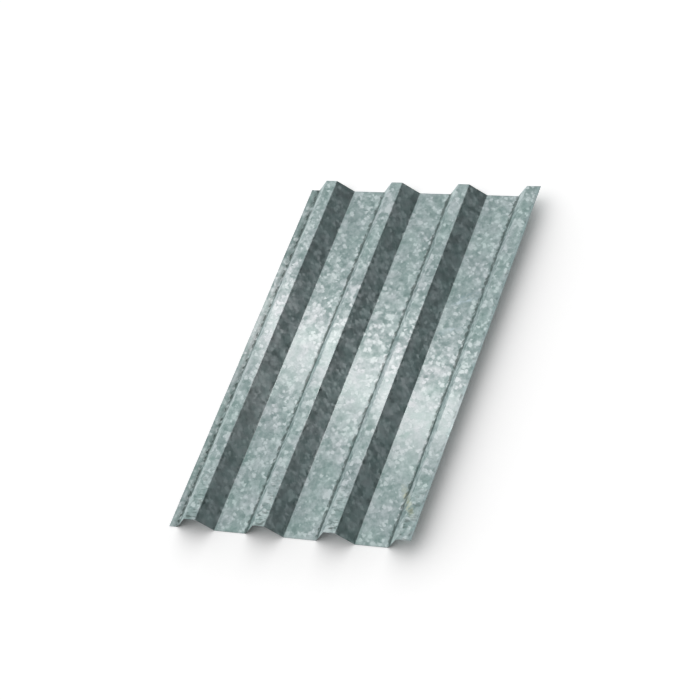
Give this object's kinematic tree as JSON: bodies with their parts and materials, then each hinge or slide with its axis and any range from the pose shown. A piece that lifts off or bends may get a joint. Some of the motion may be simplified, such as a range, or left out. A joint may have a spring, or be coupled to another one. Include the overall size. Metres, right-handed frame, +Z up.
{
  "type": "corrugated metal sheet",
  "caption": "Flat-lying trapezoidal profiled roofing sheet in bare galvanised steel, with a narrow pan lip on one side and a half rib for the side lap on the other.",
  "frame": {"origin": "on the floor under the middle of the sheet: centre of the bounding box, at its bottom", "axes": "+Y along the ribs, +X across the sheet from the lip to the half rib of the side lap, +Z up, away from the pans and towards the crowns"},
  "size_m": [0.878, 1.4, 0.0547],
  "materials": {
    "galvanised_steel": "bare hot-dip galvanised, dull, with spangle"
  },
  "bodies": {
    "root": {"profiled_sheet": "galvanised_steel"}
  },
  "joints": []
}
